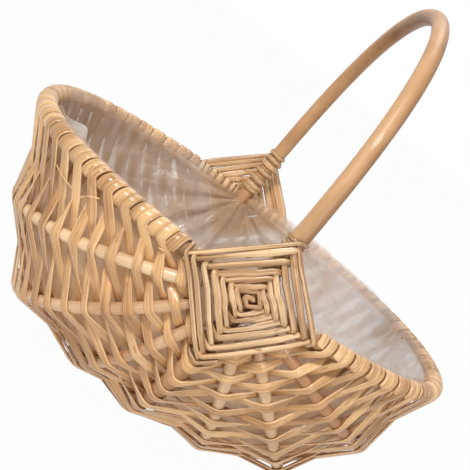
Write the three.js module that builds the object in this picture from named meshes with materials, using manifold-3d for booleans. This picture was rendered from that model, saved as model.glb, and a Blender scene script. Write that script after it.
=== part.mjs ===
// Hoop-and-rib willow basket with a fixed arched handle and a clear film liner.
// Millimetres, +Z up, +X along the basket, the two hoops cross on the Y axis at front and back.
import * as THREE from 'three';
import { mergeVertices } from 'three/addons/utils/BufferGeometryUtils.js';
import Module from 'manifold-3d';

const wasm = await Module();
wasm.setup();

// Hoops
const rimHalfLength = 190;
const rimHalfWidth = 155;
const rimFullness = 2.15;
const rimRodDiameter = 10;
const handleHeight = 225;
const handleLegFullness = 2.15;
const handleTopFullness = 3.3;
const hoopRodDiameter = 13.2;
const hoopLeanDegrees = 2.5;
const keelDepth = 151.5;
const keelFullness = 2.4;

// Ribs, evenly fanned between rim and keel; reach is measured from the line through the two crossings
const leftUpperRibReach = 181;
const rightUpperRibReach = 185;
const middleRibReach = 181;
const lowerRibReach = 161;
const leftRibReaches = [leftUpperRibReach, middleRibReach, lowerRibReach];
const rightRibReaches = [rightUpperRibReach, middleRibReach, lowerRibReach];
const ribRodDiameter = 9;
const ribTipDiameter = 4;
const ribTaperLength = 22;
const ribTipRadius = 33;
const ribFullness = 2.3;
const ribHiddenLength = 22;

// Wound lashings over the two crossings
const lashingLoops = 7;
const lashingStart = 12;
const lashingPitch = 6.2;
const lashingRunWidth = 3.3;
const lashingNeckWidth = 1.3;
const lashingAdvance = 2.2;
const lashingInRise = 1.3;
const lashingOutRise = 2.4;
const lashingRunRise = 3;
const lashingSpread = 6.5;
const lashingSpreadShare = 0.3;

// Woven skeins
const skeinCount = 23;
const skeinWidth = 7;
const skeinThickness = 1.2;
const rimWrapWidth = 6.4;
const turnsPerRimWrap = 1.5;
const rimTurnsPerSkein = 2;
const cutEndShare = 0.1;
const flatShareOfRadius = 0.55;

// Liner and fits
const linerThickness = 0.6;
const clearance = 0.3;
const weaveClearance = 0.5;
const linerClearance = 0.6;
const weaveMargin = 3;
const wornDepth = 0.5;

// Facet counts
const rodSides = 8;
const ribSides = 6;
const hoopSteps = 80;
const rimSteps = 72;
const ribSteps = 30;
const wrapStepsPerTurn = 6;
const linerSteps = 13;
const arcDivisions = 600;
const gapSampleSpacing = 1.5;
const gapSkipLength = 20;
const mergeTolerance = 1e-4;

const rimRadius = rimRodDiameter / 2;
const hoopRadius = hoopRodDiameter / 2;
const ribRadius = ribRodDiameter / 2;
const hoopLean = THREE.MathUtils.degToRad(hoopLeanDegrees);
const rowCount = 2 * skeinCount;
const wrapChordShare = Math.cos(Math.PI / wrapStepsPerTurn);
const up = new THREE.Vector3(0, 0, 1);

const willow = (color, roughness) => new THREE.MeshStandardMaterial({ color, roughness, metalness: 0 });
const rodFinish = willow(0xc99a63, 0.5);
const ribFinish = willow(0xd2a873, 0.5);
const skeinFinish = willow(0xbd9058, 0.6);
const lashingFinish = willow(0xc69c66, 0.6);
const filmFinish = new THREE.MeshStandardMaterial({
  color: 0xd9d6d2, roughness: 0.2, metalness: 0, transparent: true, opacity: 0.35,
});

const basket = new THREE.Group();
basket.name = 'basket';

function addPiece(name, geometry, material) {
  const mesh = new THREE.Mesh(geometry, material);
  mesh.name = name;
  basket.add(mesh);
}

// Radius of a wrap's corners, measured to the middle of the skein, whose flat steps just clear the rod
function wrapRadius(rodRadius, thickness) {
  return (rodRadius + weaveClearance + thickness / 2) / wrapChordShare;
}

// Signed power, which draws superellipses from the circle functions
function bend(value, fullness) {
  return Math.sign(value) * Math.abs(value) ** (2 / fullness);
}

// A rod bent from the front crossing to the back one in a plane through the Y axis
class Bow extends THREE.Curve {
  constructor(direction, reach, fullness, firstAngle = 0) {
    super();
    this.arcLengthDivisions = arcDivisions;
    this.direction = direction;
    this.reach = reach;
    this.fullness = fullness;
    this.firstAngle = firstAngle;
  }

  getPoint(t, target = new THREE.Vector3()) {
    const angle = this.firstAngle + (Math.PI - 2 * this.firstAngle) * t;
    target.copy(this.direction).multiplyScalar(this.reach * bend(Math.sin(angle), this.fullness));
    target.y -= rimHalfWidth * bend(Math.cos(angle), this.fullness);
    return target;
  }
}

// The whole rim, an oval ring
class RimRing extends THREE.Curve {
  getPoint(t, target = new THREE.Vector3()) {
    const angle = 2 * Math.PI * t;
    const x = rimHalfLength * bend(Math.sin(angle), rimFullness);
    return target.set(x, -rimHalfWidth * bend(Math.cos(angle), rimFullness), 0);
  }
}

// The whole upright hoop: handle above the rim, keel below it, leaning towards +X at the top
const hoopUp = new THREE.Vector3(Math.sin(hoopLean), 0, Math.cos(hoopLean));
class UprightHoop extends THREE.Curve {
  getPoint(t, target = new THREE.Vector3()) {
    const angle = 2 * Math.PI * t;
    const above = Math.sin(angle) >= 0;
    const rise = above
      ? handleHeight * bend(Math.sin(angle), handleTopFullness)
      : keelDepth * bend(Math.sin(angle), keelFullness);
    const out = bend(Math.cos(angle), above ? handleLegFullness : keelFullness);
    target.copy(hoopUp).multiplyScalar(rise);
    target.y -= rimHalfWidth * out;
    return target;
  }
}

// Closed tube round a closed curve
function ring(curve, radius, steps) {
  curve.arcLengthDivisions = arcDivisions;
  return new THREE.TubeGeometry(curve, steps, radius, rodSides, true);
}

// Skin over a row of equal outlines, with flat ends; faces are turned outwards
function loft(outlines) {
  const sides = outlines[0].length;
  const positions = outlines.flat().flatMap((point) => point.toArray());
  const faces = [];
  for (let i = 0; i + 1 < outlines.length; i += 1) {
    for (let j = 0; j < sides; j += 1) {
      const a = i * sides + j;
      const b = i * sides + ((j + 1) % sides);
      faces.push(a, b, b + sides, a, b + sides, a + sides);
    }
  }
  const last = (outlines.length - 1) * sides;
  for (let j = 1; j + 1 < sides; j += 1) {
    faces.push(0, j + 1, j, last, last + j, last + j + 1);
  }
  return solidGeometry(positions, faces);
}

// Indexed geometry whose enclosed volume is positive
function solidGeometry(positions, faces) {
  const corner = (k) => new THREE.Vector3().fromArray(positions, 3 * k);
  let volume = 0;
  for (let i = 0; i < faces.length; i += 3) {
    volume += corner(faces[i]).dot(corner(faces[i + 1]).cross(corner(faces[i + 2])));
  }
  const outward = volume > 0 ? faces : faces.slice().reverse();
  const geometry = new THREE.BufferGeometry();
  geometry.setAttribute('position', new THREE.Float32BufferAttribute(positions, 3));
  geometry.setIndex(outward);
  return geometry;
}

// Flat skein along stations of a centre point, the direction of its width, and its width
function skeinOutlines(stations, thickness) {
  return stations.map((station, i) => {
    const before = stations[Math.max(i - 1, 0)].point;
    const after = stations[Math.min(i + 1, stations.length - 1)].point;
    const along = after.clone().sub(before).normalize();
    const across = station.across.clone().addScaledVector(along, -station.across.dot(along)).normalize();
    const half = across.clone().multiplyScalar(station.width / 2);
    const lift = along.clone().cross(across).multiplyScalar(thickness / 2);
    return [[-1, -1], [1, -1], [1, 1], [-1, 1]].map(([side, face]) => (
      station.point.clone().addScaledVector(half, side).addScaledVector(lift, face)));
  });
}

const skein = (stations, thickness) => loft(skeinOutlines(stations, thickness));

function toSolid(geometry) {
  const bare = geometry.clone();
  bare.deleteAttribute('normal');
  bare.deleteAttribute('uv');
  const merged = mergeVertices(bare, mergeTolerance);
  return new wasm.Manifold(new wasm.Mesh({
    numProp: 3,
    vertProperties: new Float32Array(merged.attributes.position.array),
    triVerts: new Uint32Array(merged.index.array),
  }));
}

function fromSolid(solid) {
  const { vertProperties, triVerts } = solid.getMesh();
  const geometry = new THREE.BufferGeometry();
  geometry.setAttribute('position', new THREE.BufferAttribute(vertProperties, 3));
  geometry.setIndex(new THREE.BufferAttribute(triVerts, 1));
  return geometry;
}

function block(low, high) {
  const size = high.clone().sub(low);
  const middle = low.clone().add(high).multiplyScalar(0.5);
  return toSolid(new THREE.BoxGeometry(...size.toArray()).translate(...middle.toArray()));
}

// Hoops, halved into each other where they cross: the rim keeps its inner half, the hoop its outer half
let rimSolid = toSolid(ring(new RimRing(), rimRadius, rimSteps));
let hoopSolid = toSolid(ring(new UprightHoop(), hoopRadius, hoopSteps));
const lapHalfWidth = hoopRadius + 2 * clearance;
const lapHalfHeight = rimRadius + 2 * clearance;
const lapReach = 2 * hoopRadius;
for (const side of [-1, 1]) {
  const face = side * (rimHalfWidth - clearance / 2);
  const far = side * (rimHalfWidth + lapReach);
  rimSolid = rimSolid.subtract(block(
    new THREE.Vector3(-lapHalfWidth, Math.min(face, far), -lapReach),
    new THREE.Vector3(lapHalfWidth, Math.max(face, far), lapReach),
  ));
  const hoopFace = side * (rimHalfWidth + clearance / 2);
  const near = side * (rimHalfWidth - lapReach);
  hoopSolid = hoopSolid.subtract(block(
    new THREE.Vector3(-lapReach, Math.min(hoopFace, near), -lapHalfHeight),
    new THREE.Vector3(lapReach, Math.max(hoopFace, near), lapHalfHeight),
  ));
}
addPiece('rim_hoop', fromSolid(rimSolid), rodFinish);
addPiece('handle_hoop', fromSolid(hoopSolid), rodFinish);

// Warps in order across the basket: left rim, three ribs, keel, three ribs, right rim
const lashingReach = lashingStart + lashingPitch * lashingLoops;
const weaveStart = lashingReach + weaveMargin;
const leftRim = new Bow(new THREE.Vector3(-1, 0, 0), rimHalfLength, rimFullness);
const rightRim = new Bow(new THREE.Vector3(1, 0, 0), rimHalfLength, rimFullness);
const keel = new Bow(hoopUp.clone().negate(), keelDepth, keelFullness);
const handle = new UprightHoop();

const ribStepAngle = Math.PI / 2 / (leftRibReaches.length + 1);

function ribBow(reach, order, side) {
  const angle = (order + 1) * ribStepAngle;
  const direction = new THREE.Vector3(side * Math.cos(angle), 0, -Math.sin(angle));
  const firstAngle = Math.asin((ribTipRadius / reach) ** (ribFullness / 2));
  return new Bow(direction, reach, ribFullness, firstAngle);
}

const leftRibs = leftRibReaches.map((reach, order) => ribBow(reach, order, -1));
const rightRibs = rightRibReaches.map((reach, order) => ribBow(reach, order, 1));
const ribWarp = (curve) => ({ curve, radius: ribRadius, start: ribHiddenLength });
const warps = [
  { curve: leftRim, radius: rimRadius, start: weaveStart },
  ...leftRibs.map(ribWarp),
  { curve: keel, radius: hoopRadius, start: weaveStart },
  ...rightRibs.slice().reverse().map(ribWarp),
  { curve: rightRim, radius: rimRadius, start: weaveStart },
];
const lastWarp = warps.length - 1;

// Round rib, whittled thinner towards both tips
function ribGeometry(curve) {
  const length = curve.getLength();
  const frames = curve.computeFrenetFrames(ribSteps, false);
  const outlines = [];
  for (let i = 0; i <= ribSteps; i += 1) {
    const share = i / ribSteps;
    const fromTip = Math.min(share, 1 - share) * length;
    const taper = Math.min(fromTip / ribTaperLength, 1);
    const radius = THREE.MathUtils.lerp(ribTipDiameter / 2, ribRadius, taper);
    const centre = curve.getPointAt(share);
    outlines.push(Array.from({ length: ribSides }, (_, j) => {
      const angle = (2 * Math.PI * j) / ribSides;
      return centre.clone()
        .addScaledVector(frames.normals[i], radius * Math.cos(angle))
        .addScaledVector(frames.binormals[i], radius * Math.sin(angle));
    }));
  }
  return loft(outlines);
}

leftRibs.forEach((curve, i) => addPiece(`left_rib_${i + 1}`, ribGeometry(curve), ribFinish));
rightRibs.forEach((curve, i) => addPiece(`right_rib_${i + 1}`, ribGeometry(curve), ribFinish));

// Point, run of the rod and outward side of the basket wall on warp k, at a share of its woven length
function onWarp(k, share) {
  const { curve, start } = warps[k];
  const length = curve.getLength();
  const at = (start + share * (length - 2 * start)) / length;
  return { point: curve.getPointAt(at), run: curve.getTangentAt(at) };
}

function wallFrame(k, share) {
  const { point, run } = onWarp(k, share);
  const atRim = k === 0 || k === lastWarp;
  const across = atRim
    ? up.clone().multiplyScalar(k === 0 ? -1 : 1)
    : onWarp(k + 1, share).point.sub(onWarp(k - 1, share).point);
  const out = run.clone().cross(across).normalize();
  return { point, run, out, across: out.clone().cross(run).normalize() };
}

// Rows alternate: outside a warp, then inside the next; neighbouring rows are opposite
const rowShare = (row) => (row + 0.5) / rowCount;
const sideOf = (row, k) => ((row + k) % 2 === 1 ? 1 : -1);

function crossing(row, k, step) {
  const { point, run, out, across } = wallFrame(k, rowShare(row));
  const { radius } = warps[k];
  const height = sideOf(row, k) * (radius + weaveClearance + skeinThickness / 2);
  const halfFlat = flatShareOfRadius * radius;
  return [-step, step].map((sign) => ({
    point: point.clone().addScaledVector(out, height).addScaledVector(across, sign * halfFlat),
    across: run,
    width: skeinWidth,
  }));
}

function rowStations(row, step) {
  const order = Array.from({ length: lastWarp - 1 }, (_, i) => (step > 0 ? i + 1 : lastWarp - 1 - i));
  return order.flatMap((k) => crossing(row, k, step));
}

// Wraps round the rim. Angles run from the outside of the rim over its top; a skein meets and leaves
// the wrap on a tangent from its nearest station on the first rib
const wrapCentre = wrapRadius(rimRadius, skeinThickness);
const shareOfPitch = 2 / rowCount / rimTurnsPerSkein;

function tangentAngle(k, share, station, sense) {
  const { point, out } = wallFrame(k, share);
  const offset = station.point.clone().sub(point);
  const flat = new THREE.Vector2(offset.dot(out), offset.dot(up));
  return Math.atan2(flat.y, flat.x) + sense * Math.acos(wrapCentre / flat.length());
}

function wrapStation(k, share, angle) {
  const { point, run, out } = wallFrame(k, share);
  return {
    point: point.clone()
      .addScaledVector(out, wrapCentre * Math.cos(angle))
      .addScaledVector(up, wrapCentre * Math.sin(angle)),
    across: run,
    width: rimWrapWidth,
  };
}

function rimWrap(k, shareFrom, shareTo, angleFrom, angleTo) {
  const steps = Math.max(2, Math.round((Math.abs(angleTo - angleFrom) / (2 * Math.PI)) * wrapStepsPerTurn));
  return Array.from({ length: steps + 1 }, (_, i) => {
    const along = i / steps;
    return wrapStation(
      k,
      THREE.MathUtils.lerp(shareFrom, shareTo, along),
      THREE.MathUtils.lerp(angleFrom, angleTo, along),
    );
  });
}

// Angle equal to a given one apart from whole turns, and nearest to a target
function unwound(angle, target) {
  return angle + 2 * Math.PI * Math.round((target - angle) / (2 * Math.PI));
}

const halfWrap = (turnsPerRimWrap / 2) * shareOfPitch;
const wrapAngle = turnsPerRimWrap * 2 * Math.PI;
const cutShare = cutEndShare * shareOfPitch;

function skeinStations(index) {
  const outRow = 2 * index;
  const backRow = outRow + 1;
  const outward = rowStations(outRow, -1);
  const homeward = rowStations(backRow, 1);

  const headShare = outRow / rowCount;
  const headLeave = headShare + halfWrap;
  const headAngle = unwound(tangentAngle(lastWarp, headLeave, outward[0], -1), Math.PI);
  const headTurn = ((halfWrap - cutShare) / shareOfPitch) * 2 * Math.PI;
  const head = rimWrap(lastWarp, headShare + cutShare, headLeave, headAngle - headTurn, headAngle);

  const turnShare = backRow / rowCount;
  const arrive = turnShare - halfWrap;
  const leave = turnShare + halfWrap;
  const arriveAngle = unwound(tangentAngle(0, arrive, outward.at(-1), -1), Math.PI);
  const leaveAngle = unwound(tangentAngle(0, leave, homeward[0], 1), arriveAngle - wrapAngle);
  const turn = rimWrap(0, arrive, leave, arriveAngle, leaveAngle);

  const tailShare = (backRow + 1) / rowCount;
  const tailArrive = tailShare - halfWrap;
  const tailAngle = unwound(tangentAngle(lastWarp, tailArrive, homeward.at(-1), 1), 0);
  const tail = rimWrap(lastWarp, tailArrive, tailShare - cutShare, tailAngle, tailAngle + headTurn);

  return [...head, ...outward, ...turn, ...homeward, ...tail];
}

const skeinGeometries = Array.from({ length: skeinCount }, (_, i) => skein(skeinStations(i), skeinThickness));

// The lowest skeins are worn flat underneath, where the basket stands
const lowest = Math.min(...skeinGeometries.map((geometry) => {
  geometry.computeBoundingBox();
  return geometry.boundingBox.min.z;
}));
const standLevel = lowest + wornDepth;
const groundReach = 2 * rimHalfLength;
const ground = block(
  new THREE.Vector3(-groundReach, -groundReach, lowest - groundReach),
  new THREE.Vector3(groundReach, groundReach, standLevel),
);
skeinGeometries.forEach((geometry, i) => {
  const worn = geometry.boundingBox.min.z < standLevel;
  const name = `skein_${String(i + 1).padStart(2, '0')}`;
  addPiece(name, worn ? fromSolid(toSolid(geometry).subtract(ground)) : geometry, skeinFinish);
});

// Length of the handle over the top, from the front crossing to the back one
handle.arcLengthDivisions = arcDivisions;
const handleLength = handle.getLengths()[arcDivisions / 2];

// The four rods that leave a crossing, in the order in which the lashing goes round them
function spokesOf(facing) {
  const handleLeg = (distance) => {
    const at = (facing < 0 ? distance : handleLength - distance) / handle.getLength();
    return { point: handle.getPointAt(at), run: handle.getTangentAt(at) };
  };
  const bowLeg = (curve) => (distance) => {
    const share = distance / curve.getLength();
    const at = facing < 0 ? share : 1 - share;
    return { point: curve.getPointAt(at), run: curve.getTangentAt(at) };
  };
  const around = [
    { leg: bowLeg(rightRim), radius: rimRadius },
    { leg: handleLeg, radius: hoopRadius },
    { leg: bowLeg(leftRim), radius: rimRadius },
    { leg: bowLeg(keel), radius: hoopRadius },
  ];
  return facing < 0 ? around : [around[0], around[3], around[2], around[1]];
}

// Square lashing over a crossing: slanting on to each spoke, once round it and slanting off to the next,
// spiralling out. Every pass is laid higher than the one it crosses in front of the rod
function lashingStations(facing) {
  const spokes = spokesOf(facing);
  const outward = new THREE.Vector3(0, facing, 0);
  const stations = [];
  for (let corner = 0; corner < lashingLoops * spokes.length; corner += 1) {
    const { leg, radius } = spokes[corner % spokes.length];
    const distance = lashingStart + (lashingPitch * corner) / spokes.length;
    const centre = wrapRadius(radius, skeinThickness);
    const spread = Math.min(lashingSpread, lashingSpreadShare * distance);
    const place = (along, height, sideways, width) => {
      const { point, run } = leg(distance + along);
      const fromCrossing = new THREE.Vector3(point.x, 0, point.z);
      const away = run.multiplyScalar(Math.sign(run.dot(fromCrossing)));
      const front = outward.clone().addScaledVector(away, -outward.dot(away)).normalize();
      const wind = front.clone().cross(away);
      stations.push({
        point: point.addScaledVector(front, height).addScaledVector(wind, sideways),
        across: away,
        width,
      });
    };
    place(-spread, centre + lashingRunRise, -spread, lashingRunWidth);
    place(0, centre + lashingInRise, 0, lashingNeckWidth);
    for (let step = 1; step < wrapStepsPerTurn; step += 1) {
      const share = step / wrapStepsPerTurn;
      const angle = 2 * Math.PI * share;
      place(lashingAdvance * share, centre * Math.cos(angle), centre * Math.sin(angle), lashingNeckWidth);
    }
    place(lashingAdvance, centre + lashingOutRise, 0, lashingNeckWidth);
    place(lashingAdvance - spread, centre + lashingRunRise, spread, lashingRunWidth);
  }
  return stations;
}

// Least distance between points of a wound skein that lie further apart along it than a turn's width
function leastGap(stations, thickness) {
  const outlines = skeinOutlines(stations, thickness);
  const samples = [];
  let travelled = 0;
  for (let i = 0; i + 1 < outlines.length; i += 1) {
    const step = stations[i].point.distanceTo(stations[i + 1].point);
    const cuts = Math.max(1, Math.round(step / gapSampleSpacing));
    for (let cut = 0; cut < cuts; cut += 1) {
      const share = cut / cuts;
      outlines[i].forEach((corner, j) => {
        const edge = corner.clone().lerp(outlines[i + 1][j], share);
        const turn = (j + 1) % outlines[i].length;
        const next = outlines[i][turn].clone().lerp(outlines[i + 1][turn], share);
        samples.push({ point: edge, at: travelled + step * share });
        samples.push({ point: edge.clone().lerp(next, 0.5), at: travelled + step * share });
      });
    }
    travelled += step;
  }
  let least = Infinity;
  for (let i = 0; i < samples.length; i += 1) {
    for (let j = i + 1; j < samples.length; j += 1) {
      if (samples[j].at - samples[i].at > gapSkipLength) {
        least = Math.min(least, samples[i].point.distanceToSquared(samples[j].point));
      }
    }
  }
  return Math.sqrt(least);
}

for (const [name, facing] of [['front_eye_lashing', -1], ['back_eye_lashing', 1]]) {
  const stations = lashingStations(facing);
  addPiece(name, skein(stations, skeinThickness), lashingFinish);
  console.log(`${name}: least gap to itself ${leastGap(stations, skeinThickness).toFixed(2)} mm`);
}

// Film liner stretched from rod to rod inside the weave, open above and cut away at the lashings
function linerGeometry() {
  const rows = linerSteps + 1;
  const layer = (depth) => Array.from({ length: rows }, (_, i) => warps.map((warp, k) => {
    const { point, out } = wallFrame(k, i / linerSteps);
    const atRim = k === 0 || k === lastWarp;
    const inside = (atRim ? wrapCentre + skeinThickness / 2 : warp.radius + weaveClearance + skeinThickness);
    return point.addScaledVector(out, -(inside + linerClearance + depth));
  })).flat();
  const positions = [...layer(0), ...layer(linerThickness)].flatMap((point) => point.toArray());
  const columns = warps.length;
  const sheet = rows * columns;
  const faces = [];
  const quad = (a, b, c, d) => faces.push(a, b, c, a, c, d);
  for (let i = 0; i + 1 < rows; i += 1) {
    for (let k = 0; k + 1 < columns; k += 1) {
      const a = i * columns + k;
      quad(a, a + 1, a + columns + 1, a + columns);
      quad(sheet + a, sheet + a + columns, sheet + a + columns + 1, sheet + a + 1);
    }
    const left = i * columns;
    const right = left + columns - 1;
    quad(left, left + columns, sheet + left + columns, sheet + left);
    quad(right, sheet + right, sheet + right + columns, right + columns);
  }
  for (let k = 0; k + 1 < columns; k += 1) {
    const far = (rows - 1) * columns + k;
    quad(k, sheet + k, sheet + k + 1, k + 1);
    quad(far, far + 1, sheet + far + 1, sheet + far);
  }
  return solidGeometry(positions, faces);
}

addPiece('liner', linerGeometry(), filmFinish);

// The basket stands on its worn underside, with the origin below its middle
basket.position.z = -standLevel;

export default basket;
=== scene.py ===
import bpy
import numpy as np
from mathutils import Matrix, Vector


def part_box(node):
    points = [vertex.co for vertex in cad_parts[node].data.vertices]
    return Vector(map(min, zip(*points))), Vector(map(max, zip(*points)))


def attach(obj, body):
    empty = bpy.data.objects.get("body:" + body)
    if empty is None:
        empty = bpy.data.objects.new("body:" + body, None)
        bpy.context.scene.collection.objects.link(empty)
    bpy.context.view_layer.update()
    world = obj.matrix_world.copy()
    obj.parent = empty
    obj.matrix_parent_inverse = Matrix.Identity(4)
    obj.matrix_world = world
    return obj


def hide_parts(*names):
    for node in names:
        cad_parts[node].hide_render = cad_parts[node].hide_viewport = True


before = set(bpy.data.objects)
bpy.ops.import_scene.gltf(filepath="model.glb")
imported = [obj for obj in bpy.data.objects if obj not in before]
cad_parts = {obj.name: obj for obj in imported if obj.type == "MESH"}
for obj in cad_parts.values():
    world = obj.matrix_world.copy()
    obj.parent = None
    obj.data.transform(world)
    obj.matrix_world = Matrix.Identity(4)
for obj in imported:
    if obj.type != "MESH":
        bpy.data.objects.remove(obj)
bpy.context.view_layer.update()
scene = bpy.context.scene
scene.view_settings.view_transform = "Standard"


# Camera of the photograph, turned 38 degrees about its own line of sight and held a little above the rim.
# It is placed from the middle of the mouth, which lies off the picture's centre by the given pixels.
mouth_level = (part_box("rim_hoop")[0][2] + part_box("rim_hoop")[1][2]) / 2
picture_side = 470
focal_pixels = 1059.8
eye_distance = 0.8529
eye_azimuth = np.radians(-9.10)
eye_elevation = np.radians(11.04)
eye_roll = np.radians(37.68)
mouth_pixel_offset = np.array([11.0, 3.3])
sensor_millimetres = 36.0
view_depth = 100.0

back = np.array([
    np.sin(eye_azimuth) * np.cos(eye_elevation),
    -np.cos(eye_azimuth) * np.cos(eye_elevation),
    np.sin(eye_elevation),
])
level = np.array([np.cos(eye_azimuth), np.sin(eye_azimuth), 0.0])
rise = np.cross(back, level)
turned = np.array([[np.cos(eye_roll), np.sin(eye_roll)], [-np.sin(eye_roll), np.cos(eye_roll)]])
shift = turned @ mouth_pixel_offset * eye_distance / focal_pixels
place = back * eye_distance - level * shift[0] + rise * shift[1]
axes = np.eye(4)
axes[:3, 0] = turned[0, 0] * level + turned[0, 1] * rise
axes[:3, 1] = turned[1, 0] * level + turned[1, 1] * rise
axes[:3, 2] = back
axes[:3, 3] = place + [0, 0, mouth_level]

camera = bpy.data.objects.new("camera", bpy.data.cameras.new("camera"))
camera.data.sensor_width = sensor_millimetres
camera.data.lens = focal_pixels / picture_side * sensor_millimetres
camera.data.clip_end = view_depth
camera.matrix_world = axes.T.tolist()
scene.collection.objects.link(camera)
scene.camera = camera


# Studio: a pale floor that reads as white and keeps the basket's shadow, a white sky,
# and three soft lamps, the strongest above and behind the camera.
floor_reach = 12.0
floor_colour = (0.85, 0.85, 0.85, 1)
floor_shadow_share = 0.025
sky_strength = 0.20
backdrop_strength = 1.0
white = (1, 1, 1, 1)
lamps = [
    {"name": "key_lamp", "place": (-1.2, -1.4, 1.85), "side": 0.45, "watts": 40.5},
    {"name": "fill_lamp", "place": (0.9, -1.8, 0.3), "side": 0.8, "watts": 14.5},
    {"name": "top_lamp", "place": (-0.2, 0.9, 2.0), "side": 1.0, "watts": 15.0},
]


def fresh_nodes(owner):
    """Emptied node tree of a new material or world."""
    owner.use_nodes = True
    owner.node_tree.nodes.clear()
    return owner.node_tree


def node(tree, kind, inputs=None, **settings):
    """One shader node; settings are its properties, inputs are plain values or sockets to link."""
    made = tree.nodes.new("ShaderNode" + kind)
    for key, value in settings.items():
        setattr(made, key, value)
    for key, value in (inputs or {}).items():
        if isinstance(value, bpy.types.NodeSocket):
            tree.links.new(value, made.inputs[key])
        else:
            made.inputs[key].default_value = value
    return made


def maths(tree, operation, first, second, clamp=False):
    """Sum, product or the like of two values or sockets, kept within 0 and 1 where it is clamped."""
    return node(tree, "Math", {0: first, 1: second}, operation=operation, use_clamp=clamp).outputs[0]


def either_shader(tree, share, first, second):
    """Shader that is the first where the share is 0 and the second where it is 1."""
    return node(tree, "MixShader", {0: share, 1: first.outputs[0], 2: second.outputs[0]})


def seen_directly(tree):
    """Largest of the camera, glossy and transmission masks of Light Path: rays that show the backdrop."""
    path = node(tree, "LightPath").outputs
    mirrored = maths(tree, "MAXIMUM", path["Is Camera Ray"], path["Is Glossy Ray"])
    return maths(tree, "MAXIMUM", mirrored, path["Is Transmission Ray"])


floor_finish = bpy.data.materials.new("pale_floor")
tree = fresh_nodes(floor_finish)
plain = node(tree, "BsdfDiffuse", {"Color": floor_colour})
glow = node(tree, "Emission", {"Color": white, "Strength": backdrop_strength})
lit = either_shader(tree, floor_shadow_share, glow, plain)
shown = either_shader(tree, seen_directly(tree), plain, lit)
node(tree, "OutputMaterial", {"Surface": shown.outputs[0]})

floor_mesh = bpy.data.meshes.new("floor")
corners = floor_reach * np.array([[-1, -1, 0], [1, -1, 0], [1, 1, 0], [-1, 1, 0]], float)
floor_mesh.from_pydata(corners.tolist(), [], [(0, 1, 2, 3)])
floor_mesh.materials.append(floor_finish)
floor = bpy.data.objects.new("floor", floor_mesh)
scene.collection.objects.link(floor)

sky = bpy.data.worlds.new("sky")
tree = fresh_nodes(sky)
soft = node(tree, "Background", {"Color": white, "Strength": sky_strength})
bright = node(tree, "Background", {"Color": white, "Strength": backdrop_strength})
shown = either_shader(tree, seen_directly(tree), soft, bright)
node(tree, "OutputWorld", {"Surface": shown.outputs[0]})
scene.world = sky

basket_middle = np.array([0, 0, mouth_level])
for lamp in lamps:
    light = bpy.data.lights.new(lamp["name"], "AREA")
    light.size = lamp["side"]
    light.energy = lamp["watts"]
    aim = np.array(lamp["place"]) - basket_middle
    aim /= np.linalg.norm(aim)
    side = np.cross([0, 0, 1], aim)
    side /= np.linalg.norm(side)
    turn = np.eye(4)
    turn[:3, 0] = side
    turn[:3, 1] = np.cross(aim, side)
    turn[:3, 2] = aim
    turn[:3, 3] = lamp["place"]
    holder = bpy.data.objects.new(lamp["name"], light)
    holder.matrix_world = turn.T.tolist()
    scene.collection.objects.link(holder)


# Hoops: two peeled willow rods. The rim lies flat as an oval ring; the upright hoop is handle above the rim
# and keel below it, leans a little, and the two are halved into each other where they cross.
rim_half_length = 0.190
rim_half_width = 0.155
rim_fullness = 2.15
rim_radius = 0.005
handle_height = 0.225
handle_leg_fullness = 2.15
handle_top_fullness = 3.3
keel_depth = 0.1515
keel_fullness = 2.4
hoop_radius = 0.0066
hoop_lean = np.radians(2.5)
hoop_up = np.array([np.sin(hoop_lean), 0, np.cos(hoop_lean)])
hoop_side = np.array([np.cos(hoop_lean), 0, -np.sin(hoop_lean)])
straight_up = np.array([0.0, 0.0, 1.0])
rod_sides = 20
rod_spacing = 0.0025
rod_unevenness = 0.03
rod_swell_waves = (2, 7)
rod_tone = 0.5
rod_tone_sway = 0.12
rod_tone_waves = 3
# The rim rod is darkened as painted shade, so the gaps between the wraps over it read as shadow.
rim_pale_and_painted_shade = (0.50, 0.28, 0.13, 1)
rim_deep_and_painted_shade = (0.28, 0.14, 0.06, 1)
handle_pale = (0.66, 0.40, 0.21, 1)
handle_deep = (0.30, 0.14, 0.052, 1)
# Pale colour of a painted highlight spot on the near leg of the handle.
handle_painted_highlight = (0.84, 0.62, 0.42, 1)
# Painted shade: the handle darkened on one side, most on the near leg.
handle_painted_side_shade = 0.58
handle_near_share = 0.65
handle_near_gain = 0.35
# Painted shade on the inner side of the handle near its top, growing with the cube of the height.
handle_inner_shade = 0.55
handle_shade_bias = 0.6
handle_far_lift = 0.33
# Painted highlight: a pale spot on the near leg, placed where a highlight falls, fading along and round the
# rod.
painted_highlight_spot = np.array([0.0057, -0.1426, 0.130])
painted_highlight_facing = np.array([-0.35, -0.94])
painted_highlight_length = 0.014
fibre_stretch = (1000, 9, 1)
streak_stretch = (420, 7, 1)
blotch_stretch = (45, 22, 1)
blotch_strength = 1.3
flush_stretch = (16, 5, 1)
flush_span = (0.4, 0.62, 0.0, 0.6)
flush_tint = (1.0, 0.89, 0.80, 1)
speck_stretch = (230, 75, 1)
speck_span = (0.64, 0.74, 0.0, 0.6)
ragged_strength = 0.8
edge_and_painted_light_span = (0.8, 1.0, 0.0, 1.0)
uneven_roughness = 0.25
fibre_height = 0.6
grain_depth = 0.0004
coat_share = 0.3
coat_roughness = 0.4


def bent(value, fullness):
    """Signed power of a sine or cosine, which draws a superellipse: fuller than a circle above 2."""
    return np.sign(value) * np.abs(value) ** (2 / fullness)


def unit(vectors):
    """Each row divided by its length."""
    return vectors / np.linalg.norm(vectors, axis=-1, keepdims=True)


def travelled(path):
    """Distance of each point of a path from its start."""
    return np.concatenate([[0], np.cumsum(np.linalg.norm(np.diff(path, axis=0), axis=1))])


def along(path, distances):
    """Points of a path at given distances from its start."""
    at = travelled(path)
    return np.stack([np.interp(distances, at, path[:, axis]) for axis in range(3)], axis=-1)


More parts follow.
